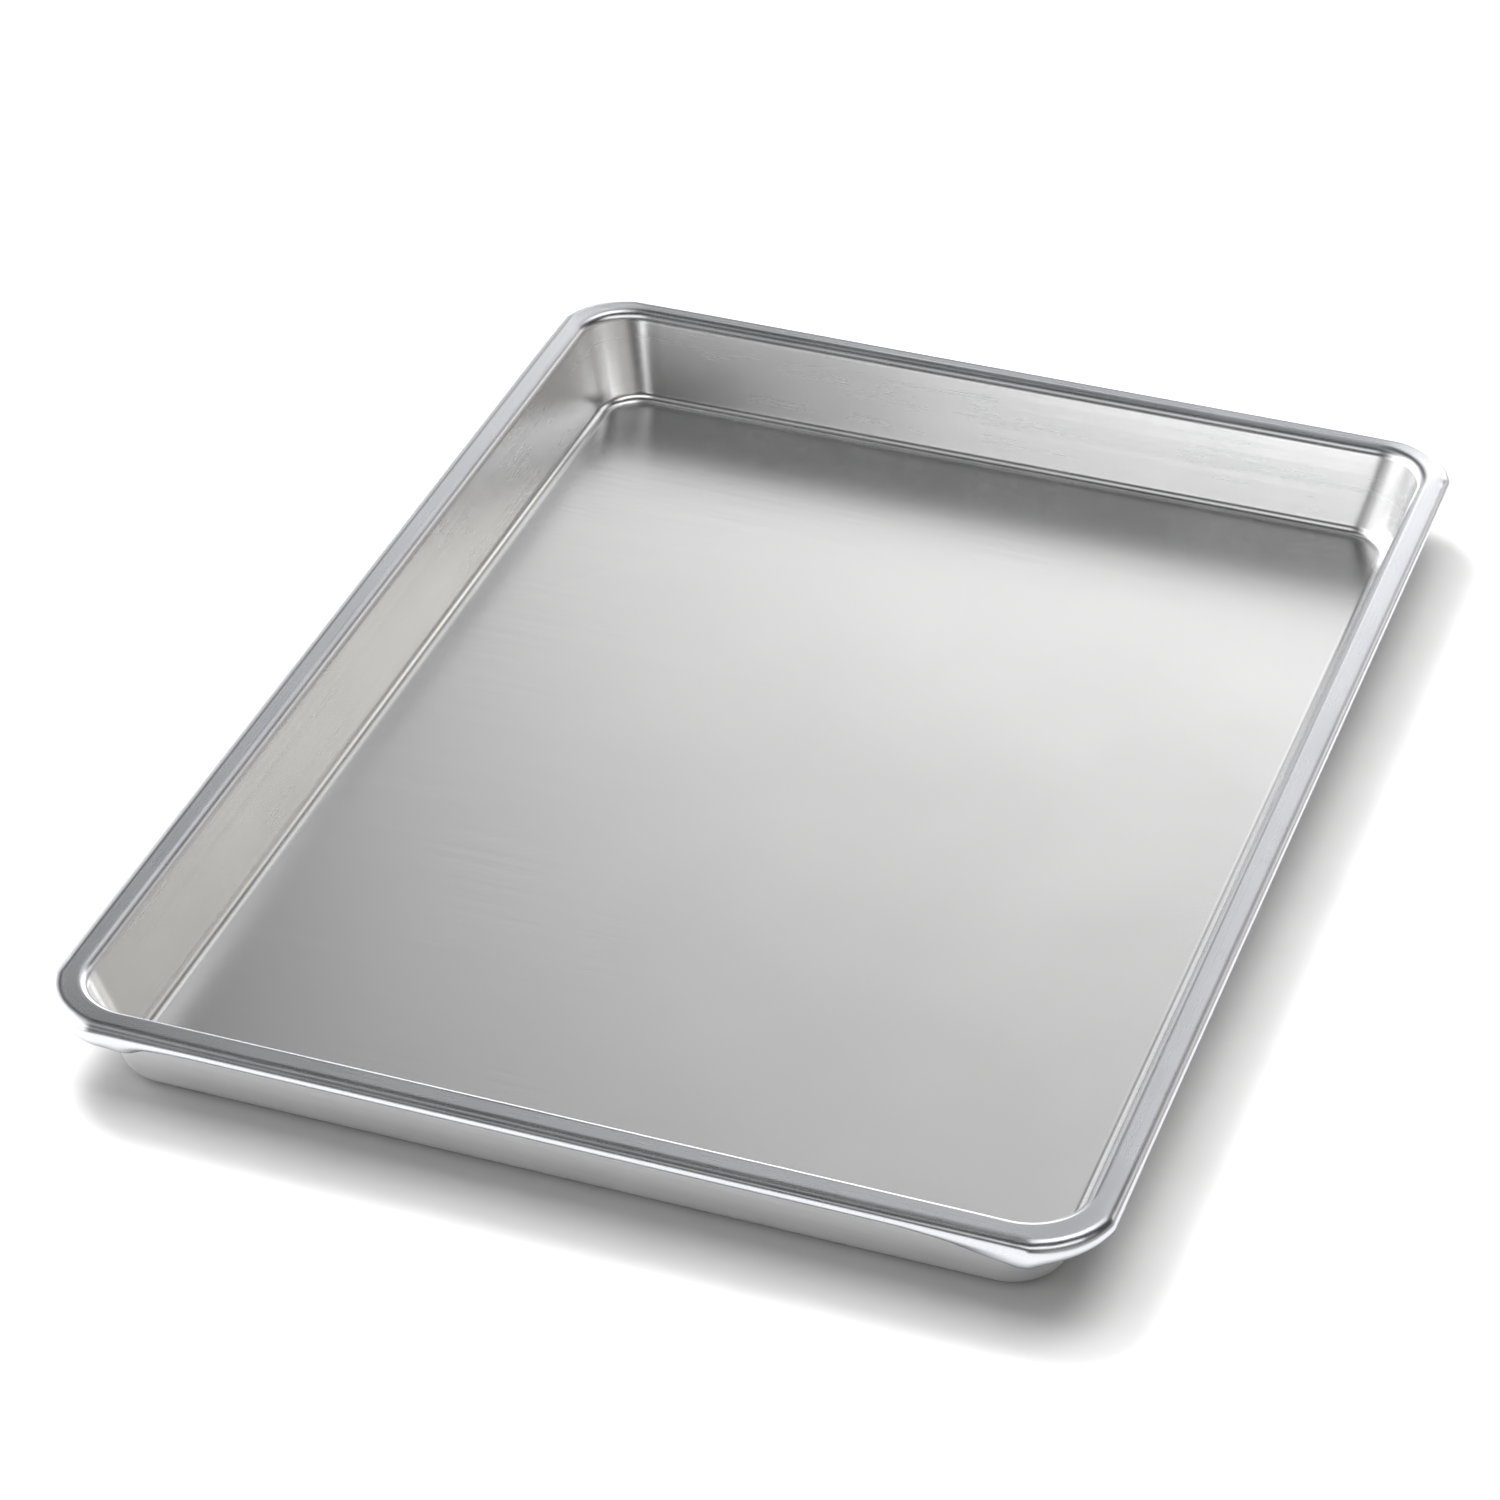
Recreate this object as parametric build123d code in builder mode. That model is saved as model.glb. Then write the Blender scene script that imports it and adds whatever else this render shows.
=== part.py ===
from build123d import *

import math
import os

# Jelly roll pan, millimetres. Origin at the middle of the underside.
# X runs along the short side, Y along the long side, +Z is up.

# Rim outline and height
rim_width = 304.8  # across X, over the rim
rim_length = 425.45  # across Y, over the rim
rim_corner_radius = 24.7  # outermost corner radius of the rim
pan_height = 30.0  # underside of the base to the top of the ledge
sheet = 1.0  # aluminium sheet thickness

# Walls
wall_draft = 15.25  # degrees from the vertical
base_inset = 17.15  # rim edge to the sharp inner corner of base and wall
base_corner_radius = 15.0  # plan radius of the cavity at the base
mouth_corner_radius = 17.0  # plan radius of the cavity at the ledge
base_fillet = 4.0  # inside radius between base and wall
mouth_fillet = 3.0  # outside radius between wall and ledge

# Rolled rim
wire_diameter = 2.2
wire_clearance = 0.1
wire_gap = 1.0  # butt gap where the two ends of the hoop meet
lip_end_angle = 385.0  # the curl runs from 90 degrees (top) to here
skirt_drop = 8.0  # how far the corner lips hang below the ledge
skirt_corner_radius = 22.8  # corner radius of the hanging lip's lower edge
skirt_reach = 14.0  # how far the hanging lip runs on along the straight sides
skirt_ramp = 9.0  # length over which the hanging lip rises to the curl

curl_inner = wire_diameter / 2 + wire_clearance
curl_outer = curl_inner + sheet
curl_inset = curl_outer
curl_height = pan_height - curl_outer
slope = math.tan(math.radians(wall_draft))
slant_sheet = sheet / math.cos(math.radians(wall_draft))


def cavity_inset(z):
    return base_inset - (z - sheet) * slope


def cavity_radius(z):
    share = (z - sheet) / (pan_height - sheet)
    return base_corner_radius + (mouth_corner_radius - base_corner_radius) * share


def outline(inset, radius):
    RectangleRounded(rim_width - 2 * inset, rim_length - 2 * inset, radius)


def away_from_rim(edge):
    # True for the edges where the walls meet the ledge, not its outer border.
    middle = edge.center()
    from_side = rim_width / 2 - abs(middle.X)
    from_end = rim_length / 2 - abs(middle.Y)
    return min(from_side, from_end) > 5 and from_side + from_end > 20


straight_x = rim_width - 2 * rim_corner_radius
straight_y = rim_length - 2 * rim_corner_radius
half_x = straight_x / 2
half_y = straight_y / 2


def curl_section(start_angle, end_angle):
    # Border of a stretch of the rolled edge's section: local X points outwards
    # from the pan, with the wire's axis at the sketch origin.
    with BuildLine() as border:
        for radius in (curl_outer, curl_inner):
            CenterArc((0, 0), radius, 180 - start_angle, start_angle - end_angle)
        for angle in (start_angle, end_angle):
            across = math.radians(180 - angle)
            Line(
                (curl_inner * math.cos(across), curl_inner * math.sin(across)),
                (curl_outer * math.cos(across), curl_outer * math.sin(across)),
            )
    return border.edges()


# Hanging lips at the four rim corners
with BuildPart() as corner_lips:
    with BuildSketch(Plane.XY.offset(curl_height)):
        outline(0, rim_corner_radius)
    with BuildSketch(Plane.XY.offset(pan_height - skirt_drop)):
        outline(0, skirt_corner_radius)
    loft(ruled=True)
    with BuildSketch(Plane.XY.offset(curl_height)):
        outline(sheet, rim_corner_radius - sheet)
    with BuildSketch(Plane.XY.offset(pan_height - skirt_drop)):
        outline(sheet, skirt_corner_radius - sheet)
    loft(ruled=True, mode=Mode.SUBTRACT)

with BuildPart() as corner_blocks:
    for sign_x, sign_y in ((1, 1), (-1, 1), (-1, -1), (1, -1)):
        for_top = rim_corner_radius + skirt_reach
        for_end = for_top - skirt_ramp
        with BuildSketch(Plane.XY.offset(curl_height)):
            with Locations(
                (
                    sign_x * (rim_width / 2 - for_top / 2),
                    sign_y * (rim_length / 2 - for_top / 2),
                )
            ):
                Rectangle(for_top, for_top)
        with BuildSketch(Plane.XY.offset(pan_height - skirt_drop)):
            with Locations(
                (
                    sign_x * (rim_width / 2 - for_end / 2),
                    sign_y * (rim_length / 2 - for_end / 2),
                )
            ):
                Rectangle(for_end, for_end)
        loft(ruled=True)

with BuildPart() as corner_skirts:
    add(corner_lips.part)
    add(corner_blocks.part, mode=Mode.INTERSECT)

# Hollow inside of the tray
with BuildPart() as cavity:
    with BuildSketch(Plane.XY.offset(sheet)):
        outline(cavity_inset(sheet), cavity_radius(sheet))
    with BuildSketch(Plane.XY.offset(pan_height)):
        outline(cavity_inset(pan_height), cavity_radius(pan_height))
    loft(ruled=True)
    fillet(
        cavity.edges().filter_by_position(Axis.Z, sheet - 0.01, sheet + 0.01),
        base_fillet,
    )

# The drawn sheet: base, walls, ledge and rolled edge in one piece
with BuildPart() as pan_sheet:
    # Outside of the tray
    with BuildSketch(Plane.XY):
        outline(cavity_inset(0) - slant_sheet, cavity_radius(0) + slant_sheet)
    with BuildSketch(Plane.XY.offset(pan_height - sheet)):
        outline(
            cavity_inset(pan_height - sheet) - slant_sheet,
            cavity_radius(pan_height - sheet) + slant_sheet,
        )
    loft(ruled=True)
    fillet(
        pan_sheet.edges().filter_by_position(Axis.Z, -0.01, 0.01), base_fillet + sheet
    )

    # Ledge
    with BuildSketch(Plane.XY.offset(pan_height - sheet)):
        outline(curl_inset, rim_corner_radius - curl_inset)
    extrude(amount=sheet)
    under_ledge = pan_sheet.edges().filter_by_position(
        Axis.Z, pan_height - sheet - 0.01, pan_height - sheet + 0.01
    )
    fillet(
        under_ledge.filter_by(away_from_rim),
        mouth_fillet - sheet,
    )

    # Inside of the tray
    add(cavity.part, mode=Mode.SUBTRACT)
    mouth = pan_sheet.edges().filter_by_position(
        Axis.Z, pan_height - 0.01, pan_height + 0.01
    )
    fillet(
        mouth.filter_by(away_from_rim),
        mouth_fillet,
    )

    # Rolled edge along the straight sides: the first quarter turn runs the
    # whole way, and the closed remainder stops short of the corners
    for sign in (1, -1):
        for first, last, short in ((90, 180, 0), (180, lip_end_angle, skirt_reach)):
            with BuildSketch(
                Plane(
                    origin=(
                        sign * (rim_width / 2 - curl_inset),
                        -sign * (half_y - short),
                        curl_height,
                    ),
                    x_dir=(sign, 0, 0),
                    z_dir=(0, -sign, 0),
                )
            ):
                make_face(curl_section(first, last))
            extrude(amount=2 * short - straight_y)
            with BuildSketch(
                Plane(
                    origin=(
                        sign * (half_x - short),
                        sign * (rim_length / 2 - curl_inset),
                        curl_height,
                    ),
                    x_dir=(0, sign, 0),
                    z_dir=(sign, 0, 0),
                )
            ):
                make_face(curl_section(first, last))
            extrude(amount=2 * short - straight_x)

    # Rolled edge over the corners, as far as the wire's outer side
    for sign_x, sign_y, turn in ((1, 1, 0), (-1, 1, 90), (-1, -1, 180), (1, -1, 270)):
        start = math.radians(turn)
        outwards = (math.cos(start), math.sin(start), 0)
        centre = (sign_x * half_x, sign_y * half_y, curl_height)
        reach = rim_corner_radius - curl_inset
        with BuildSketch(
            Plane(
                origin=(
                    centre[0] + reach * outwards[0],
                    centre[1] + reach * outwards[1],
                    curl_height,
                ),
                x_dir=outwards,
                z_dir=(math.sin(start), -math.cos(start), 0),
            )
        ):
            make_face(curl_section(90, 180))
        revolve(axis=Axis(centre, (0, 0, 1)), revolution_arc=90)

    add(corner_skirts.part)

# Galvanised wire hoop inside the rolled edge
hoop_x = rim_width / 2 - curl_inset
hoop_y = rim_length / 2 - curl_inset
hoop_radius = rim_corner_radius - curl_inset

with BuildPart() as rim_wire:
    with BuildLine() as hoop:
        Line(
            (-wire_gap / 2, hoop_y, curl_height),
            (-hoop_x + hoop_radius, hoop_y, curl_height),
        )
        RadiusArc(
            (-hoop_x + hoop_radius, hoop_y, curl_height),
            (-hoop_x, hoop_y - hoop_radius, curl_height),
            -hoop_radius,
        )
        Line(
            (-hoop_x, hoop_y - hoop_radius, curl_height),
            (-hoop_x, -hoop_y + hoop_radius, curl_height),
        )
        RadiusArc(
            (-hoop_x, -hoop_y + hoop_radius, curl_height),
            (-hoop_x + hoop_radius, -hoop_y, curl_height),
            -hoop_radius,
        )
        Line(
            (-hoop_x + hoop_radius, -hoop_y, curl_height),
            (hoop_x - hoop_radius, -hoop_y, curl_height),
        )
        RadiusArc(
            (hoop_x - hoop_radius, -hoop_y, curl_height),
            (hoop_x, -hoop_y + hoop_radius, curl_height),
            -hoop_radius,
        )
        Line(
            (hoop_x, -hoop_y + hoop_radius, curl_height),
            (hoop_x, hoop_y - hoop_radius, curl_height),
        )
        RadiusArc(
            (hoop_x, hoop_y - hoop_radius, curl_height),
            (hoop_x - hoop_radius, hoop_y, curl_height),
            -hoop_radius,
        )
        Line(
            (hoop_x - hoop_radius, hoop_y, curl_height),
            (wire_gap / 2, hoop_y, curl_height),
        )
    with BuildSketch(
        Plane(
            origin=(-wire_gap / 2, hoop_y, curl_height),
            x_dir=(0, 1, 0),
            z_dir=(-1, 0, 0),
        )
    ):
        Circle(wire_diameter / 2)
    sweep()

os.makedirs("parts", exist_ok=True)
pan_sheet.part.label = "pan_sheet"
export_step(pan_sheet.part, "parts/pan_sheet.step")
rim_wire.part.label = "rim_wire"
export_step(rim_wire.part, "parts/rim_wire.step")
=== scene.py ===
import math

import bpy
import numpy as np
from mathutils import Matrix, Vector


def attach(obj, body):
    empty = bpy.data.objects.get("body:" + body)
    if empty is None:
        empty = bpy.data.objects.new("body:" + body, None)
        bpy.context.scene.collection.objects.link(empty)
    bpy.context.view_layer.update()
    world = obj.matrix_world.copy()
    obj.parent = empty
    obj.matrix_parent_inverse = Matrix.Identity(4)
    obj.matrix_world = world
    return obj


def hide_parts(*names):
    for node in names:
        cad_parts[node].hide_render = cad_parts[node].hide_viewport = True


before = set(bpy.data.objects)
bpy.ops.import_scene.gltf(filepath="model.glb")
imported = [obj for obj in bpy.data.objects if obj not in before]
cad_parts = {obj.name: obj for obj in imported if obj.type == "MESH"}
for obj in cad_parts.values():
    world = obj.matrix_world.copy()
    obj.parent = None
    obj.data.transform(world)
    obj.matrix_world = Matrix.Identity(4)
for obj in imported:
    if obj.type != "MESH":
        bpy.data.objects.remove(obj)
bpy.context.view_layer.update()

MM = 0.001

# ---------------------------------------------------------------- dimensions
# All in millimetres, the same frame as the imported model.
WIDTH, LENGTH, HEIGHT = 304.8, 425.45, 30.0
SHEET = 1.0
RIM_R = 24.7
DRAFT = math.radians(15.25)
BASE_INSET = 17.15
BASE_R, MOUTH_R = 15.0, 17.0
BASE_FILLET = 4.0
CURL_R = 2.2
WIRE_R = 1.1
SLOPE = math.tan(DRAFT)


def cavity_inset(z):
    return BASE_INSET - (z - SHEET) * SLOPE


def cavity_radius(z):
    return BASE_R + (MOUTH_R - BASE_R) * (z - SHEET) / (HEIGHT - SHEET)


def smooth(a, b, x):
    t = np.clip((np.asarray(x, float) - a) / (b - a), 0.0, 1.0)
    return t * t * (3 - 2 * t)


# ---------------------------------------------------------------- stations
# One station is a place along the rim: kind 0 is a straight side, kind 1 a
# corner. The order is counter-clockwise, from the right side's front end.
def straight_steps(length, fine=30.0, small=1.5, big=4.0):
    near = list(np.arange(0.0, fine, small))
    middle = list(np.linspace(fine, length - fine, max(2, int((length - 2 * fine) / big))))
    far = [length - x for x in reversed(near)]
    return np.array(near + middle + far) / length


SIDE_LEN = [LENGTH - 2 * RIM_R, WIDTH - 2 * RIM_R, LENGTH - 2 * RIM_R, WIDTH - 2 * RIM_R]
CORNER_STEPS = 36
stations = []  # (kind, side or corner, parameter)
for k in range(4):
    for t in straight_steps(SIDE_LEN[k])[:-1]:
        stations.append((0, k, t))
    for a in np.linspace(0, math.pi / 2, CORNER_STEPS, endpoint=False):
        stations.append((1, k, a))
kind = np.array([s[0] for s in stations])
which = np.array([s[1] for s in stations])
param = np.array([s[2] for s in stations])
NS = len(stations)

along = np.zeros(NS)  # distance along the rim's outer edge
total = 0.0
start_of = []
for k in range(4):
    start_of.append((total, total + SIDE_LEN[k]))
    total += SIDE_LEN[k] + RIM_R * math.pi / 2
for i in range(NS):
    a, b = start_of[which[i]]
    along[i] = a + param[i] * SIDE_LEN[which[i]] if kind[i] == 0 else b + param[i] * RIM_R
PERIMETER = total

SIGN = [(1, 1), (-1, 1), (-1, -1), (1, -1)]  # the corner after each side
TURN = [0.0, math.pi / 2, math.pi, 1.5 * math.pi]


def ring(inset, radius):
    """Plan position of every station for a rounded rectangle at an inset; inset may differ per station."""
    inset = np.broadcast_to(np.asarray(inset, float), (NS,))
    radius = np.broadcast_to(np.asarray(radius, float), (NS,))
    hx, hy = WIDTH / 2 - inset, LENGTH / 2 - inset
    cx, cy = hx - radius, hy - radius
    x, y = np.zeros(NS), np.zeros(NS)
    ends = [
        ((1, -1), (1, 1)),
        ((1, 1), (-1, 1)),
        ((-1, 1), (-1, -1)),
        ((-1, -1), (1, -1)),
    ]
    for k in range(4):
        m = (kind == 0) & (which == k)
        t = param[m]
        (ax, ay), (bx, by) = ends[k]
        if k in (0, 2):
            x[m] = ax * hx[m]
            y[m] = (ay * (1 - t) + by * t) * cy[m]
        else:
            y[m] = ay * hy[m]
            x[m] = (ax * (1 - t) + bx * t) * cx[m]
        m = (kind == 1) & (which == k)
        a = TURN[k] + param[m]
        sx, sy = SIGN[k]
        x[m] = sx * cx[m] + radius[m] * np.cos(a)
        y[m] = sy * cy[m] + radius[m] * np.sin(a)
    return x, y


# Signed distance of each station from the middle of the nearest corner, in mm
# along the rim's edge; positive is counter-clockwise.
HALF_ARC = RIM_R * math.pi / 4
near_corner = np.zeros(NS, int)
from_mid = np.zeros(NS)
for i in range(NS):
    if kind[i] == 1:
        near_corner[i] = which[i]
        from_mid[i] = param[i] * RIM_R - HALF_ARC
    else:
        length = SIDE_LEN[which[i]]
        if param[i] < 0.5:
            near_corner[i] = (which[i] - 1) % 4
            from_mid[i] = param[i] * length + HALF_ARC
        else:
            near_corner[i] = which[i]
            from_mid[i] = -(1 - param[i]) * length - HALF_ARC

# ---------------------------------------------------------------- rolled edge
# On the straights the strip closes into a tube round the wire. At the corners
# the extra metal makes the roll fatter and lower, and beside them it hangs as
# an almost open lip. How far it hangs below the straight tube, in mm, at
# distances from each corner's middle:
HANG = [
    [(-46, 0), (-36, 0.9), (-27, 2.2), (-20, 3.6), (-14, 3.9), (-7, 3.0), (0, 2.6),
     (7, 2.9), (14, 3.8), (20, 3.4), (27, 1.9), (36, 0.7), (46, 0)],
    [(-44, 0), (-35, 0.8), (-26, 2.0), (-19, 3.7), (-13, 3.6), (-6, 2.7), (0, 2.5),
     (7, 2.7), (14, 3.3), (20, 3.7), (27, 2.2), (35, 0.8), (44, 0)],
    [(-36, 0), (-28, 0.5), (-20, 0.9), (-10, 0.8), (0, 0.9), (4, 1.7), (7, 2.9),
     (11, 3.5), (16, 3.8), (22, 3.8), (25, 4.2), (29, 3.0), (33, 1.6), (38, 0.8), (45, 0)],
    [(-54, 0), (-47, 0.4), (-42, 1.5), (-34, 2.9), (-27, 3.7), (-20, 4.3), (-14, 4.9), (-9, 4.0),
     (-5, 3.2), (0, 2.6), (6, 2.0), (11, 1.4), (16, 1.9), (21, 2.2), (27, 1.7), (36, 0.9), (46, 0)],
]
BULGE = [0.6, 0.6, 0.5, 0.8]
sag = np.zeros(NS)
bulge = np.zeros(NS)
for k in range(4):
    m = near_corner == k
    xs, ys = zip(*HANG[k])
    for shift in (-2.4, -1.2, 0.0, 1.2, 2.4):
        sag[m] += np.interp(from_mid[m] + shift, xs, ys) / 5
    bulge[m] = BULGE[k]
inside = np.clip(HALF_ARC - np.abs(from_mid), 0, None)
bulge = np.minimum(bulge, RIM_R * (1 / np.cos(inside / RIM_R) - 1))

NC = 40


def strip(length, bends):
    """Outer surface of a rolled strip: bends are (up to this length, curvature)."""
    s = np.linspace(0, length, 40 * NC)
    bend = np.zeros_like(s)
    below_here = -1.0
    for upto, amount in bends:
        bend[(s > below_here) & (s <= upto)] = amount
        below_here = upto
    step = s[1]
    heading = np.concatenate([[0], np.cumsum(bend[1:] * step)])
    u = -np.concatenate([[0], np.cumsum(np.cos(heading[1:]) * step)])
    z = (HEIGHT - SHEET / 2) - np.concatenate([[0], np.cumsum(np.sin(heading[1:]) * step)])
    u, z = u - np.sin(heading) * SHEET / 2, z + np.cos(heading) * SHEET / 2
    u -= u.min() - 0.05
    at = np.linspace(0, len(s) - 1, NC).astype(int)
    return np.stack([u[at], z[at]])


tube = strip(8.85, [(2.45, 1 / 4.01), (5.99, 1 / 1.4), (99, 1 / 2.0)])
fat_roll = strip(10.2, [(1.6, 1 / 3.8), (99, 1 / 2.85)])
hanging = strip(11.0, [(2.2, 1 / 4.2), (4.4, 1 / 2.1), (6.9, 0.0), (9.2, 0.05), (99, 0.5)])
fat_share = (1 - smooth(3.0, 24.0, np.abs(from_mid))) * np.clip(sag / 2.7, 0, 1)
hang_share = np.clip((sag - 2.7 * fat_share) / 5.0, 0, 1)
tube_share = 1 - fat_share - hang_share
section = (
    tube[:, :, None] * tube_share + fat_roll[:, :, None] * fat_share + hanging[:, :, None] * hang_share
)
curl_u, curl_z = section[0] - bulge, section[1]
curl_start = curl_u[0]

top_u, top_z, top_r = [], [], []
for j in range(NC - 1, 0, -1):  # from the lip's end up to the ledge
    top_u.append(curl_u[j])
    top_z.append(curl_z[j])
    top_r.append(RIM_R - curl_u[j])

# ---------------------------------------------------------------- inner profile
# The mouth's rounding is tight along the front and slacker on the other sides.
MOUTH_ROUND = [3.4, 4.4, 3.6, 1.7]  # right, back, left, front
side_middle = np.array([(a + b) / 2 for a, b in start_of])
side_share = np.zeros((4, NS))
for k in range(4):
    off = np.abs((along - side_middle[k] + PERIMETER / 2) % PERIMETER - PERIMETER / 2)
    half = SIDE_LEN[k] / 2
    side_share[k] = 1 - smooth(half - 12, half + 2 * HALF_ARC + 12, off)
side_share /= side_share.sum(0)
mouth_r = (np.array(MOUTH_ROUND)[:, None] * side_share).sum(0)
mouth_cu = cavity_inset(HEIGHT) - mouth_r * math.tan((math.pi / 2 - DRAFT) / 2)
mouth_cz = HEIGHT - mouth_r
mouth_u = mouth_cu + mouth_r * math.cos(DRAFT)
mouth_z = mouth_cz + mouth_r * math.sin(DRAFT)
mouth_rad = cavity_radius(mouth_z)
ledge_r = mouth_rad + mouth_u - mouth_cu
base_flat = BASE_INSET + BASE_FILLET * math.tan((math.pi / 2 - DRAFT) / 2)
foot_u = base_flat - BASE_FILLET * math.cos(DRAFT)
foot_z = SHEET + BASE_FILLET * (1 - math.sin(DRAFT))
foot_rad = cavity_radius(foot_z)


def add_ring(u, z, r):
    for rows, value in ((top_u, u), (top_z, z), (top_r, r)):
        rows.append(np.zeros(NS) + value)


# The ledge, from the roll to the mouth's rounding.
for t in (0.0, 0.08, 0.2, 0.36, 0.54, 0.72, 0.88, 1.0):
    top_u.append(curl_start + (mouth_cu - curl_start) * t)
    top_z.append(np.full(NS, HEIGHT))
    top_r.append((RIM_R - curl_start) * (1 - t) + ledge_r * t)
LEDGE_END = len(top_u) - 1
for a in np.linspace(math.pi / 2, DRAFT, 15)[1:]:
    u = mouth_cu + mouth_r * math.cos(a)
    z = mouth_cz + mouth_r * math.sin(a)
    add_ring(u, z, mouth_rad + mouth_u - u)
for t in (0.012, 0.04, 0.1, 0.18, 0.26, 0.34, 0.42, 0.5, 0.58, 0.66, 0.74, 0.82, 0.9, 0.96, 0.988):
    z = mouth_z + (foot_z - mouth_z) * t
    add_ring(cavity_inset(z), z, cavity_radius(z))
for a in np.linspace(DRAFT, math.pi / 2, 17):
    u = base_flat - BASE_FILLET * math.cos(a)
    z = SHEET + BASE_FILLET * (1 - math.sin(a))
    add_ring(u, z, foot_rad + foot_u - u)
FILLET_END = len(top_u) - 1
base_r = foot_rad + foot_u - base_flat
for extra in (0.35, 1.2, 3.0, 6.0):
    add_ring(base_flat + extra, SHEET, base_r)
WALL_ROWS = len(top_u)

U = np.array(top_u)
Z = np.array(top_z)
R = np.array(top_r)
X, Y = np.zeros_like(U), np.zeros_like(U)
for j in range(len(U)):
    X[j], Y[j] = ring(U[j], R[j])
# base: the last ring drawn in towards the middle
inner = 30
for s in np.linspace(1, 0, inner + 1)[1:-1] ** 1.0:
    X = np.vstack([X, X[WALL_ROWS - 1] * s])
    Y = np.vstack([Y, Y[WALL_ROWS - 1] * s])
    Z = np.vstack([Z, np.full(NS, SHEET)])
NR = len(X)

# ---------------------------------------------------------------- hand of the press
# Slow unevenness of a drawn sheet, in mm along the surface normal.
rng = np.random.RandomState(7)


def waves(count, lowest, highest, seed):
    r = np.random.RandomState(seed)
    n = r.randint(lowest, highest, count)
    ph = r.uniform(0, 2 * math.pi, count)
    amp = r.uniform(0.4, 1.0, count)
    th = 2 * math.pi * along / PERIMETER
    return (amp[:, None] * np.sin(n[:, None] * th[None, :] + ph[:, None])).sum(0) / amp.sum()


def grid_normals(X, Y, Z):
    """Outward (visible side) unit normals of the grid of the upper surface."""
    P = np.stack([X, Y, Z], -1)
    ds = np.roll(P, -1, 1) - np.roll(P, 1, 1)
    dj = np.zeros_like(P)
    dj[1:-1] = P[2:] - P[:-2]
    dj[0] = P[1] - P[0]
    dj[-1] = P[-1] - P[-2]
    n = np.cross(dj, ds)
    n /= np.linalg.norm(n, axis=2)[:, :, None] + 1e-12
    return n


def profile_normals():
    """Unit normals from the profile's own slope, exact on the flat base."""
    n = grid_normals(X, Y, Z)
    if n[WALL_ROWS, 0, 2] < 0:
        n = -n
    n[FILLET_END:] = (0, 0, 1)
    return n


N = profile_normals()
row_z = Z.mean(1)
wall_part = np.zeros(NR)
for j in range(NR):
    if LEDGE_END <= j <= FILLET_END:
        wall_part[j] = 1.0
hang = np.zeros((NR, NS))
# walls belly in and out a little between the corners
mid = np.where(kind == 0, np.sin(math.pi * np.clip(param, 0, 1)), 0.0)
deep = np.clip((HEIGHT - Z) / (HEIGHT - SHEET), 0, 1)
belly = np.sin(math.pi * deep) * (np.arange(NR) <= FILLET_END)[:, None]
belly *= (np.arange(NR) >= LEDGE_END)[:, None]
hang += belly * (0.18 * mid * waves(5, 2, 9, 3) + 0.05 * waves(6, 8, 30, 4))[None, :]
# the ledge and the roll ripple a little along their length
rim_rows = (np.arange(NR) <= LEDGE_END)[:, None] * 1.0
hang -= rim_rows * (0.03 * (1 + waves(6, 6, 26, 5)) * (kind == 0) * mid)[None, :]
# puckers where the sheet was gathered round the corners: on the roll, and on
# the walls and their fillets
gathered = 1 - smooth(14.0, 34.0, np.abs(from_mid))
roll_rows = np.exp(-(((np.arange(NR) - NC * 0.75) / (NC * 0.16)) ** 2))[:, None]
hang -= roll_rows * (0.05 * gathered * (1 + waves(9, 120, 330, 8)))[None, :]
hang -= roll_rows * (0.015 * (1 + waves(9, 90, 400, 12)))[None, :]
hang += belly * (0.03 * gathered * waves(8, 110, 330, 9))[None, :]
P = np.stack([X, Y, Z], -1) + N * hang[:, :, None]

# The ledge isn't level: each side leans a little, in mm lower at its outer or
# inner border, and the wall below follows.
OUTER_LOW = [0.16, 0.0, 0.0, 0.0]  # right, back, left, front
INNER_LOW = [0.0, 0.24, 0.17, 0.0]
outer_low = (np.array(OUTER_LOW)[:, None] * side_share).sum(0)
inner_low = (np.array(INNER_LOW)[:, None] * side_share).sum(0)
across = np.zeros((NR, NS))
across[NC - 1 : LEDGE_END + 1] = np.linspace(0, 1, LEDGE_END - NC + 2)[:, None]
across[LEDGE_END:] = 1
fade = np.clip((Z - SHEET) / (HEIGHT - SHEET), 0, 1)
P[:, :, 2] -= outer_low * (1 - across) + inner_low * across * fade

# small nicks along the rolled edge: (distance along the rim, row, depth, length, width)
s_row = np.zeros(NR)
pm = P[:, 5, :]
s_row[1:] = np.cumsum(np.linalg.norm(np.diff(pm, axis=0), axis=1))
nick_rng = np.random.RandomState(11)
for _ in range(46):
    at = nick_rng.uniform(0, PERIMETER)
    row = s_row[NC - 1] - nick_rng.uniform(-2.5, 4.5)
    depth = nick_rng.uniform(0.02, 0.09)
    la, lb = nick_rng.uniform(0.5, 1.6), nick_rng.uniform(0.25, 0.7)
    da = np.abs(along - at)
    da = np.minimum(da, PERIMETER - da)
    P -= N * (
        depth
        * np.exp(-((da[None, :] / la) ** 2) - (((s_row - row)[:, None]) / lb) ** 2)
    )[:, :, None]

N2 = N.copy()
under = P - N2 * SHEET

# ---------------------------------------------------------------- mesh of the sheet
verts = []
index_top = np.arange(NR * NS).reshape(NR, NS)
verts.append(P.reshape(-1, 3))
centre_top = NR * NS
verts.append(np.array([[0, 0, SHEET]]))
index_low = centre_top + 1 + np.arange(NR * NS).reshape(NR, NS)
verts.append(under.reshape(-1, 3))
centre_low = centre_top + 1 + NR * NS
verts.append(np.array([[0, 0, 0.0]]))
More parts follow.
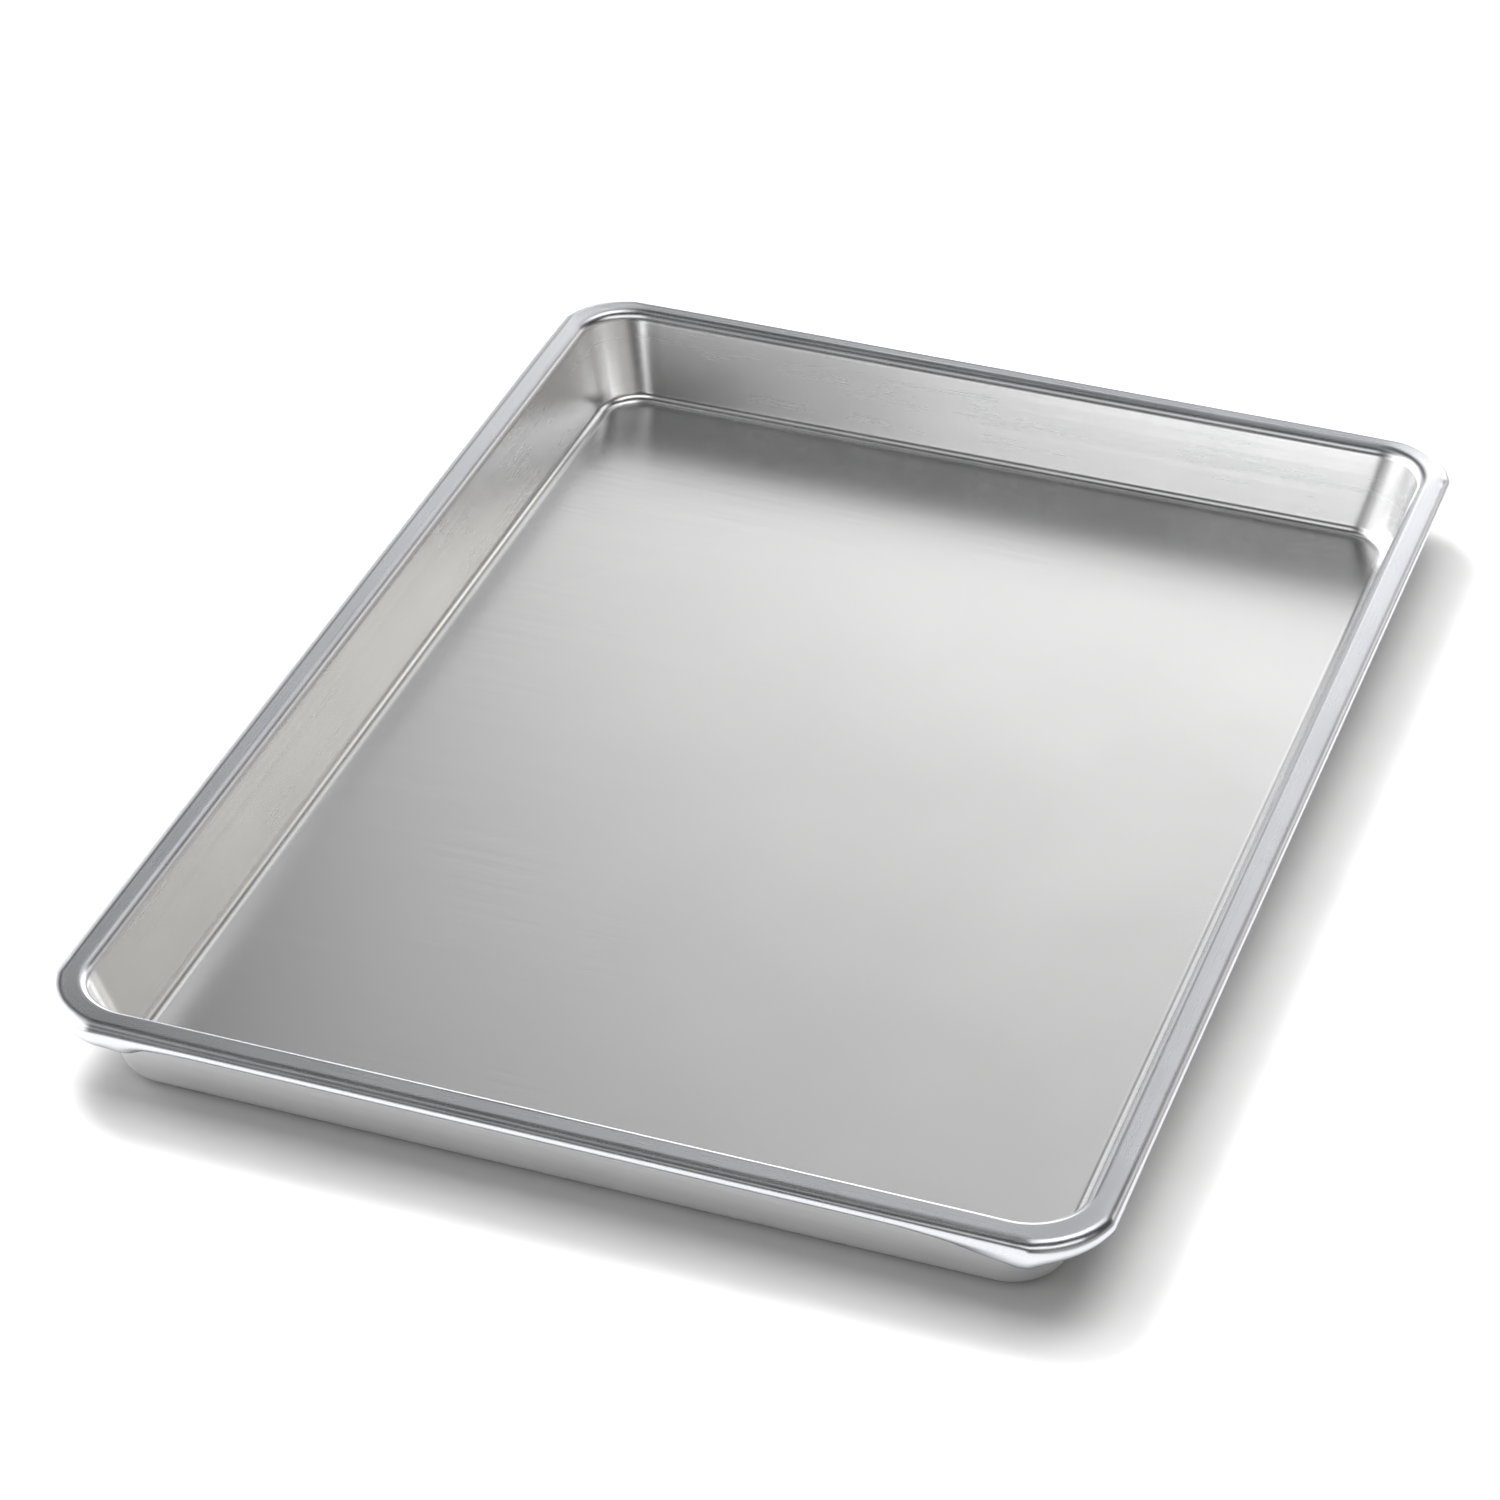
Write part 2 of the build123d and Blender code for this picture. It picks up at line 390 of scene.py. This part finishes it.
# the sheared end of the lip, its two arrises slightly broken
edge_mid = (P[0] + under[0]) / 2
outward = P[0] - P[1]
outward /= np.linalg.norm(outward, axis=1)[:, None]
lip_a = P[0] + (edge_mid - P[0]) * 0.22 + outward * 0.10
lip_b = under[0] + (edge_mid - under[0]) * 0.22 + outward * 0.10
index_lip_a = centre_low + 1 + np.arange(NS)
index_lip_b = index_lip_a + NS
verts.append(lip_a)
verts.append(lip_b)
verts = np.concatenate(verts) * MM

faces = []
mat_index = []
nxt = np.roll(np.arange(NS), -1)


def quads(a, b, flip=False):
    out = np.stack([a, a[nxt], b[nxt], b], -1)
    return out[:, ::-1] if flip else out


quad_list = []
quad_zone = []
for j in range(NR - 1):
    quad_list.append(quads(index_top[j], index_top[j + 1]))
    quad_zone.append(0 if j >= FILLET_END else 1)
for j in range(NR - 1):
    quad_list.append(quads(index_low[j], index_low[j + 1], True))
    quad_zone.append(0 if j >= FILLET_END else 1)
quad_list.append(quads(index_lip_a, index_top[0]))
quad_zone.append(1)
quad_list.append(quads(index_lip_b, index_lip_a))
quad_zone.append(1)
quad_list.append(quads(index_low[0], index_lip_b))
quad_zone.append(1)
for q, zone in zip(quad_list, quad_zone):
    faces.extend(q.tolist())
    mat_index.extend([zone] * len(q))
for i in range(NS):
    j = int(nxt[i])
    faces.append([int(index_top[-1, i]), int(index_top[-1, j]), centre_top])
    faces.append([int(index_low[-1, j]), int(index_low[-1, i]), centre_low])
    mat_index.extend([0, 0])

mesh = bpy.data.meshes.new("pan_sheet_fine")
mesh.from_pydata(verts.tolist(), [], faces)
mesh.update()

# Attributes: "flow" runs along the sheet's edge on a circle of the true
# perimeter, with the distance down the section as its third value; "rim" is
# 1 on ledge and roll, "wall" is 1 on the walls and their fillets.
th = 2 * math.pi * along / PERIMETER
circle = PERIMETER / (2 * math.pi)
flow = np.zeros((NR, NS, 3))
flow[:, :, 0] = circle * np.cos(th)[None, :]
flow[:, :, 1] = circle * np.sin(th)[None, :]
flow[:, :, 2] = s_row[:, None]
wallw = smooth(HEIGHT, HEIGHT - 3.0, Z) * (np.arange(NR) <= FILLET_END)[:, None]
wallw *= (np.arange(NR) >= LEDGE_END)[:, None]
rimw = 1.0 * (np.arange(NR) <= FILLET_END)[:, None] * (1 - wallw)
# 1 where the roll has turned under; the walls' material paints shade there, a dark colour standing in for the
# shadowed floor that the roll's underside reflects
tuck_shade_weight = smooth(0.15, 0.8, -N[:, :, 2]) * (np.arange(NR) <= LEDGE_END)[:, None]


def spread(grid, centre_value):
    grid = np.asarray(grid, float).reshape(NR * NS, -1)
    c = np.asarray(centre_value, float).reshape(1, -1)
    first = grid.reshape(NR, NS, -1)[0]
    return np.concatenate([grid, c, grid, c, first, first])


def store(name, values):
    if values.shape[1] == 3:
        a = mesh.attributes.new(name, "FLOAT_VECTOR", "POINT")
        a.data.foreach_set("vector", (values).astype(np.float32).ravel())
    else:
        a = mesh.attributes.new(name, "FLOAT", "POINT")
        a.data.foreach_set("value", values.astype(np.float32).ravel())


store("flow", spread(flow * MM, (0, 0, s_row[-1] * MM)))
store("rim", spread(rimw * np.ones((NR, NS)), 0))
store("wall", spread(wallw * np.ones((NR, NS)), 0))
store("tuck_shade", spread(tuck_shade_weight, 0))
store("below", np.concatenate([np.zeros((NR * NS + 1, 1)), np.ones((NR * NS + 1 + 2 * NS, 1))]))

uv = mesh.uv_layers.new(name="UVMap")
loop_vert = np.zeros(len(mesh.loops), np.int32)
mesh.loops.foreach_get("vertex_index", loop_vert)
co = verts[loop_vert]
uvs = np.stack([co[:, 1], co[:, 0]], -1)
uv.data.foreach_set("uv", uvs.astype(np.float32).ravel())

mesh.polygons.foreach_set("material_index", np.array(mat_index, np.int32))
mesh.polygons.foreach_set("use_smooth", np.ones(len(mesh.polygons), bool))
mesh.update()
sheet = bpy.data.objects.new("pan_sheet_fine", mesh)
bpy.context.scene.collection.objects.link(sheet)
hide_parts("pan_sheet")

# ---------------------------------------------------------------- wire hoop
wire_stations = []
hx, hy = WIDTH / 2 - CURL_R, LENGTH / 2 - CURL_R
rr = RIM_R - CURL_R
pts, tan = [], []


def wire_line(p, q, step=4.0):
    p, q = np.array(p, float), np.array(q, float)
    d = q - p
    n = max(2, int(np.linalg.norm(d) / step))
    for t in np.linspace(0, 1, n, endpoint=False):
        pts.append(p + d * t)
        tan.append(d / np.linalg.norm(d))


def wire_arc(cx, cy, a0):
    for a in np.linspace(a0, a0 + math.pi / 2, 24, endpoint=False):
        pts.append(np.array([cx + rr * math.cos(a), cy + rr * math.sin(a)]))
        tan.append(np.array([-math.sin(a), math.cos(a)]))


wire_line((-0.5, hy), (-hx + rr, hy))
wire_arc(-hx + rr, hy - rr, math.pi / 2)
wire_line((-hx, hy - rr), (-hx, -hy + rr))
wire_arc(-hx + rr, -hy + rr, math.pi)
wire_line((-hx + rr, -hy), (hx - rr, -hy))
wire_arc(hx - rr, -hy + rr, 1.5 * math.pi)
wire_line((hx, -hy + rr), (hx, hy - rr))
wire_arc(hx - rr, hy - rr, 0)
wire_line((hx - rr, hy), (0.5, hy))
pts.append(np.array([0.5, hy]))
tan.append(np.array([-1.0, 0.0]))
pts, tan = np.array(pts), np.array(tan)
WS = 24
wv = []
for k in range(len(pts)):
    side = np.array([tan[k][1], -tan[k][0]])
    for m in range(WS):
        a = 2 * math.pi * m / WS
        wv.append(
            (
                pts[k][0] + WIRE_R * math.cos(a) * side[0],
                pts[k][1] + WIRE_R * math.cos(a) * side[1],
                HEIGHT - CURL_R + WIRE_R * math.sin(a),
            )
        )
wf = []
for k in range(len(pts) - 1):
    for m in range(WS):
        a, b = k * WS + m, k * WS + (m + 1) % WS
        wf.append((a, a + WS, b + WS, b))
# each cut end: a flat face, split into a ring drawn in to 0.82 of the wire's width and a cap inside it
for k, direction in ((0, 1), (len(pts) - 1, -1)):
    base = k * WS
    t3 = np.array([tan[k][0], tan[k][1], 0.0])
    ring_pts = np.array(wv[base : base + WS])
    mid_pt = ring_pts.mean(0)
    start = len(wv)
    for p in ring_pts:
        wv.append(tuple(mid_pt + (p - mid_pt) * 0.82 - t3 * 0.0))
    for m in range(WS):
        a, b = base + m, base + (m + 1) % WS
        c, d = start + (m + 1) % WS, start + m
        wf.append((a, b, c, d) if direction == 1 else (d, c, b, a))
    cap = list(range(start, start + WS))
    wf.append(tuple(cap if direction == 1 else cap[::-1]))
wire_mesh = bpy.data.meshes.new("rim_wire_fine")
wire_mesh.from_pydata([(x * MM, y * MM, z * MM) for x, y, z in wv], [], wf)
wire_mesh.update()
wire_mesh.polygons.foreach_set("use_smooth", np.ones(len(wire_mesh.polygons), bool))
wire = bpy.data.objects.new("rim_wire_fine", wire_mesh)
bpy.context.scene.collection.objects.link(wire)
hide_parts("rim_wire")


# ---------------------------------------------------------------- materials
class Tree:
    def __init__(self, name):
        self.mat = bpy.data.materials.new(name)
        self.mat.use_nodes = True
        self.nt = self.mat.node_tree
        self.nt.nodes.clear()
        self.out = self.nt.nodes.new("ShaderNodeOutputMaterial")
        self.bsdf = self.nt.nodes.new("ShaderNodeBsdfPrincipled")
        self.nt.links.new(self.bsdf.outputs[0], self.out.inputs[0])

    def new(self, kind_name, **settings):
        n = self.nt.nodes.new(kind_name)
        for key, value in settings.items():
            setattr(n, key, value)
        return n

    def link(self, a, b):
        self.nt.links.new(a, b)

    def attr(self, name):
        return self.new("ShaderNodeAttribute", attribute_name=name)

    def mapping(self, vector, scale, loc=(0, 0, 0)):
        m = self.new("ShaderNodeMapping")
        m.inputs["Scale"].default_value = scale
        m.inputs["Location"].default_value = loc
        self.link(vector, m.inputs["Vector"])
        return m.outputs[0]

    def noise(self, vector, scale, detail=3.0, rough=0.55, distortion=0.0):
        n = self.new("ShaderNodeTexNoise")
        n.inputs["Scale"].default_value = scale
        n.inputs["Detail"].default_value = detail
        n.inputs["Roughness"].default_value = rough
        n.inputs["Distortion"].default_value = distortion
        self.link(vector, n.inputs["Vector"])
        return n.outputs[0]

    def math(self, op, a, b=None, c=None, clamp=False):
        n = self.new("ShaderNodeMath", operation=op, use_clamp=clamp)
        for slot, v in zip(n.inputs, (a, b, c)):
            if v is None:
                continue
            if isinstance(v, (int, float)):
                slot.default_value = v
            else:
                self.link(v, slot)
        return n.outputs[0]

    def span(self, value, a, b, c, d):
        n = self.new("ShaderNodeMapRange")
        n.clamp = True
        self.link(value, n.inputs["Value"])
        for key, v in zip(("From Min", "From Max", "To Min", "To Max"), (a, b, c, d)):
            if isinstance(v, (int, float)):
                n.inputs[key].default_value = v
            else:
                self.link(v, n.inputs[key])
        return n.outputs[0]

    def mix(self, factor, a, b):
        n = self.new("ShaderNodeMix", data_type="RGBA")
        if isinstance(factor, (int, float)):
            n.inputs["Factor"].default_value = factor
        else:
            self.link(factor, n.inputs["Factor"])
        for key, v in (("A", a), ("B", b)):
            slot = [s for s in n.inputs if s.name == key and s.type == "RGBA"][0]
            if isinstance(v, tuple):
                slot.default_value = v
            else:
                self.link(v, slot)
        return [s for s in n.outputs if s.type == "RGBA"][0]

    def bump(self, height, distance, strength=1.0, normal=None):
        n = self.new("ShaderNodeBump")
        n.inputs["Strength"].default_value = strength
        n.inputs["Distance"].default_value = distance
        self.link(height, n.inputs["Height"])
        if normal is not None:
            self.link(normal, n.inputs["Normal"])
        return n.outputs[0]


def base_material():
    t = Tree("aluminium_base")
    obj = t.new("ShaderNodeTexCoord").outputs["Object"]
    grain = t.noise(t.mapping(obj, (22, 2400, 60)), 1.0, 4.0, 0.6)
    coarse = t.noise(t.mapping(obj, (6, 420, 20)), 1.0, 3.0, 0.55)
    cloud = t.noise(t.mapping(obj, (16, 16, 16)), 1.0, 3.0, 0.5)
    lines = t.math("MULTIPLY_ADD", coarse, 0.35, t.math("MULTIPLY", grain, 0.65))
    colour = t.mix(
        t.span(lines, 0.3, 0.7, 0.0, 1.0), (0.765, 0.765, 0.765, 1), (0.835, 0.835, 0.832, 1)
    )
    # a few small dark specks left by baking and handling
    cells = t.new("ShaderNodeTexVoronoi")
    cells.inputs["Scale"].default_value = 46.0
    t.link(obj, cells.inputs["Vector"])
    dot = t.span(cells.outputs["Distance"], 0.012, 0.03, 1.0, 0.0)
    some = t.span(t.noise(t.mapping(obj, (31, 31, 31), (3, 1, 0)), 1.0, 1.0, 0.5), 0.52, 0.6, 0.0, 0.4)
    colour = t.mix(t.math("MULTIPLY", dot, some), colour, (0.42, 0.41, 0.40, 1))
    t.link(colour, t.bsdf.inputs["Base Color"])
    rough = t.math("MULTIPLY_ADD", cloud, 0.06, t.span(lines, 0.3, 0.7, 0.22, 0.18))
    t.link(rough, t.bsdf.inputs["Roughness"])
    t.bsdf.inputs["Metallic"].default_value = 1.0
    t.link(t.bump(lines, 0.000006), t.bsdf.inputs["Normal"])
    return t.mat


def wall_material():
    t = Tree("aluminium_drawn")
    flow_at = t.attr("flow").outputs["Vector"]
    obj = t.new("ShaderNodeTexCoord").outputs["Object"]
    streak = t.noise(t.mapping(flow_at, (3.5, 3.5, 700)), 1.0, 4.0, 0.6)
    broad = t.noise(t.mapping(flow_at, (2.5, 2.5, 170)), 1.0, 3.0, 0.55, 0.2)
    speck = t.noise(t.mapping(obj, (900, 900, 900)), 1.0, 3.0, 0.6)
    cloud = t.noise(t.mapping(obj, (30, 30, 30)), 1.0, 3.0, 0.5)
    lines = t.math("MULTIPLY_ADD", broad, 0.55, t.math("MULTIPLY", streak, 0.45))
    rimness = t.attr("rim").outputs["Fac"]
    colour = t.mix(
        t.span(lines, 0.3, 0.7, 0.0, 1.0),
        (0.77, 0.77, 0.775, 1),
        (0.84, 0.84, 0.84, 1),
    )
    # painted shade and reflection: the ledge and roll are coloured darker and slightly bluish, standing in for the
    # darker bluish reflections they show; the metal is the same as the walls'
    colour = t.mix(t.math("MULTIPLY", rimness, t.span(lines, 0.3, 0.7, 0.95, 0.7)), colour, (0.60, 0.605, 0.64, 1))
    # painted shade: where the roll has turned under, the colour is pulled towards dark grey (0.22, 0.22, 0.225), a
    # little unevenly, in place of the shadow it reflects
    tuck_shade = t.attr("tuck_shade").outputs["Fac"]
    dirt_and_painted_shade = t.math("MULTIPLY", tuck_shade, t.span(cloud, 0.3, 0.7, 0.7, 0.95))
    colour = t.mix(dirt_and_painted_shade, colour, (0.22, 0.22, 0.225, 1))
    t.link(colour, t.bsdf.inputs["Base Color"])
    rough = t.math("MULTIPLY_ADD", cloud, 0.08, t.span(lines, 0.3, 0.7, 0.25, 0.19))
    rough = t.math("MULTIPLY_ADD", rimness, 0.01, rough)
    below = t.attr("below").outputs["Fac"]
    t.link(t.math("MULTIPLY_ADD", below, 0.26, rough), t.bsdf.inputs["Roughness"])
    t.bsdf.inputs["Metallic"].default_value = 1.0
    first = t.bump(lines, 0.000010)
    t.link(t.bump(speck, 0.0000014, 1.0, first), t.bsdf.inputs["Normal"])
    return t.mat


def wire_material():
    t = Tree("galvanised_wire")
    obj = t.new("ShaderNodeTexCoord").outputs["Object"]
    spangle = t.noise(t.mapping(obj, (420, 420, 420)), 1.0, 3.0, 0.6)
    dirt_and_painted_shade = t.noise(t.mapping(obj, (90, 90, 90)), 1.0, 4.0, 0.6)
    colour = t.mix(
        t.span(spangle, 0.35, 0.65, 0.0, 1.0), (0.46, 0.47, 0.48, 1), (0.63, 0.64, 0.65, 1)
    )
    colour = t.mix(t.span(dirt_and_painted_shade, 0.5, 0.75, 0.0, 0.5), colour, (0.33, 0.32, 0.31, 1))
    t.link(colour, t.bsdf.inputs["Base Color"])
    t.link(t.span(spangle, 0.3, 0.7, 0.36, 0.55), t.bsdf.inputs["Roughness"])
    t.bsdf.inputs["Metallic"].default_value = 1.0
    t.link(t.bump(spangle, 0.00003), t.bsdf.inputs["Normal"])
    return t.mat


def floor_material():
    t = Tree("studio_floor")
    obj = t.new("ShaderNodeTexCoord").outputs["Object"]
    speck = t.noise(t.mapping(obj, (40, 40, 40)), 1.0, 3.0, 0.5)
    colour = t.mix(
        t.span(speck, 0.3, 0.7, 0.0, 1.0), (0.49, 0.49, 0.49, 1), (0.51, 0.51, 0.51, 1)
    )
    t.link(colour, t.bsdf.inputs["Base Color"])
    t.bsdf.inputs["Roughness"].default_value = 0.9
    t.bsdf.inputs["Specular IOR Level"].default_value = 0.1
    return t.mat


mesh.materials.append(base_material())
mesh.materials.append(wall_material())
wire_mesh.materials.append(wire_material())
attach(sheet, "root")
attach(wire, "root")

# ---------------------------------------------------------------- floor
fm = bpy.data.meshes.new("floor")
F = 9.0
fm.from_pydata(
    [(-F, -F, -0.0001), (F, -F, -0.0001), (F, F, -0.0001), (-F, F, -0.0001)],
    [],
    [(0, 1, 2, 3)],
)
floor = bpy.data.objects.new("floor", fm)
fm.materials.append(floor_material())
bpy.context.scene.collection.objects.link(floor)


# ---------------------------------------------------------------- light
def area(name, azimuth, elevation, distance, size_x, size_y, radiance, colour=(1, 1, 1)):
    """A soft box seen from the pan at an azimuth (0 is +Y, 90 is +X) and elevation, facing the pan."""
    a, e = math.radians(azimuth), math.radians(elevation)
    d = Vector((math.sin(a) * math.cos(e), math.cos(a) * math.cos(e), math.sin(e)))
    data = bpy.data.lights.new(name, "AREA")
    data.shape = "RECTANGLE"
    data.size, data.size_y = size_x, size_y
    data.energy = radiance * math.pi * size_x * size_y
    data.color = colour
    o = bpy.data.objects.new(name, data)
    o.location = d * distance
    o.rotation_mode = "QUATERNION"
    o.rotation_quaternion = (-d).to_track_quat("-Z", "Y")
    bpy.context.scene.collection.objects.link(o)
    return o


# The shadow comes from one soft box behind and left of the pan and a large
# weak one overhead. Both light the floor and are kept out of the metal's
# reflections, which come from the studio's panels alone.
key = area("key", -58, 60, 2.2, 0.85, 0.85, 29.0)
key.visible_glossy = False
fill = area("fill", 0, 89, 2.2, 2.2, 2.2, 5.6)
fill.visible_glossy = False

# The studio round the pan: soft panels, each with its middle's azimuth and
# elevation, half its width and height, how soft its sides and ends are (all in
# degrees), its radiance and its colour.
COOL, WARM, PLAIN = (0.955, 0.975, 1.0), (1.0, 0.975, 0.935), (1.0, 1.0, 1.0)
PANELS = [
    (-6, 27, 15, 1, 13, 28, 0.74, PLAIN),
    (-73, 12, 67, 3, 17, 11, 0.97, PLAIN),
    (143, 49, 42, 1, 25, 13, 2.16, PLAIN),
    (68, 10, 77, 9, 16, 11, 0.47, WARM),
    (-94, 23, 22, 16, 33, 20, 2.20, PLAIN),
    (-173, 2, 1, 2, 13, 15, 2.60, PLAIN),
    (12, 73, 15, 12, 16, 20, 2.60, PLAIN),
    (-2, 19, 11, 2, 13, 12, 3.1, PLAIN),
    (32, 21, 1, 1, 13, 11, 1.37, WARM),
    (-87, 56, 8, 22, 16, 24, 0.58, PLAIN),
]
ZENITH, RISE = 0.02, 0.02  # plain room light overhead, and how it starts with elevation

world = bpy.data.worlds.new("studio")
bpy.context.scene.world = world
world.use_nodes = True
wn = world.node_tree
wn.nodes.clear()


def wmath(op, a, b=None, c=None):
    n = wn.nodes.new("ShaderNodeMath")
    n.operation = op
    for slot, v in zip(n.inputs, (a, b, c)):
        if v is None:
            continue
        if isinstance(v, (int, float)):
            slot.default_value = v
        else:
            wn.links.new(v, slot)
    return n.outputs[0]


def soft_step(value, edge, softness):
    """1 while value is below edge, 0 beyond edge + softness."""
    n = wn.nodes.new("ShaderNodeMapRange")
    n.interpolation_type = "SMOOTHSTEP"
    wn.links.new(value, n.inputs["Value"])
    n.inputs["From Min"].default_value = math.radians(edge)
    n.inputs["From Max"].default_value = math.radians(edge + softness)
    n.inputs["To Min"].default_value = 1.0
    n.inputs["To Max"].default_value = 0.0
    return n.outputs["Result"]


way = wn.nodes.new("ShaderNodeSeparateXYZ")
wn.links.new(wn.nodes.new("ShaderNodeTexCoord").outputs["Generated"], way.inputs[0])
way_az = wmath("ARCTAN2", way.outputs[0], way.outputs[1])
way_el = wmath("ARCSINE", way.outputs[2])
total_light = None
for az0, el0, half_az, half_el, soft_az, soft_el, radiance, tint in PANELS:
    off_az = wmath("WRAP", wmath("SUBTRACT", way_az, math.radians(az0)), math.pi, -math.pi)
    side = soft_step(wmath("ABSOLUTE", off_az), half_az, soft_az)
    level = soft_step(
        wmath("ABSOLUTE", wmath("SUBTRACT", way_el, math.radians(el0))), half_el, soft_el
    )
    amount = wmath("MULTIPLY", wmath("MULTIPLY", side, level), radiance)
    coloured = wn.nodes.new("ShaderNodeVectorMath")
    coloured.operation = "SCALE"
    coloured.inputs[0].default_value = tint
    wn.links.new(amount, coloured.inputs["Scale"])
    if total_light is None:
        total_light = coloured.outputs[0]
    else:
        join = wn.nodes.new("ShaderNodeVectorMath")
        join.operation = "ADD"
        wn.links.new(total_light, join.inputs[0])
        wn.links.new(coloured.outputs[0], join.inputs[1])
        total_light = join.outputs[0]
room = wn.nodes.new("ShaderNodeVectorMath")
room.operation = "SCALE"
room.inputs[0].default_value = COOL
wn.links.new(wmath("MULTIPLY_ADD", way_el, (ZENITH - RISE) / (math.pi / 2), RISE), room.inputs["Scale"])
join = wn.nodes.new("ShaderNodeVectorMath")
join.operation = "ADD"
wn.links.new(total_light, join.inputs[0])
wn.links.new(room.outputs[0], join.inputs[1])
bg = wn.nodes.new("ShaderNodeBackground")
wn.links.new(join.outputs[0], bg.inputs["Color"])
world_out = wn.nodes.new("ShaderNodeOutputWorld")
wn.links.new(bg.outputs[0], world_out.inputs[0])

# ---------------------------------------------------------------- camera
AZ, EL, ROLL = math.radians(19.30), math.radians(34.85), math.radians(0.48)
back = Vector((math.sin(AZ) * math.cos(EL), -math.cos(AZ) * math.cos(EL), math.sin(EL)))
right = Vector((math.cos(AZ), math.sin(AZ), 0))
up = back.cross(right)
r2 = math.cos(ROLL) * right + math.sin(ROLL) * up
u2 = -math.sin(ROLL) * right + math.cos(ROLL) * up
target = Vector((-0.02106, 0.01193, 0.001))
cam_data = bpy.data.cameras.new("camera")
cam_data.sensor_width = 36.0
cam_data.lens = 4854.0 * 36.0 / 1500.0
cam_data.clip_start, cam_data.clip_end = 0.05, 60
cam = bpy.data.objects.new("camera", cam_data)
m = Matrix((r2, u2, back)).transposed().to_4x4()
m.translation = target + back * 1.4749
cam.matrix_world = m
bpy.context.scene.collection.objects.link(cam)
bpy.context.scene.camera = cam

view = bpy.context.scene.view_settings
view.view_transform = "Standard"
view.look = "None"
view.exposure = 0.0
view.gamma = 1.0
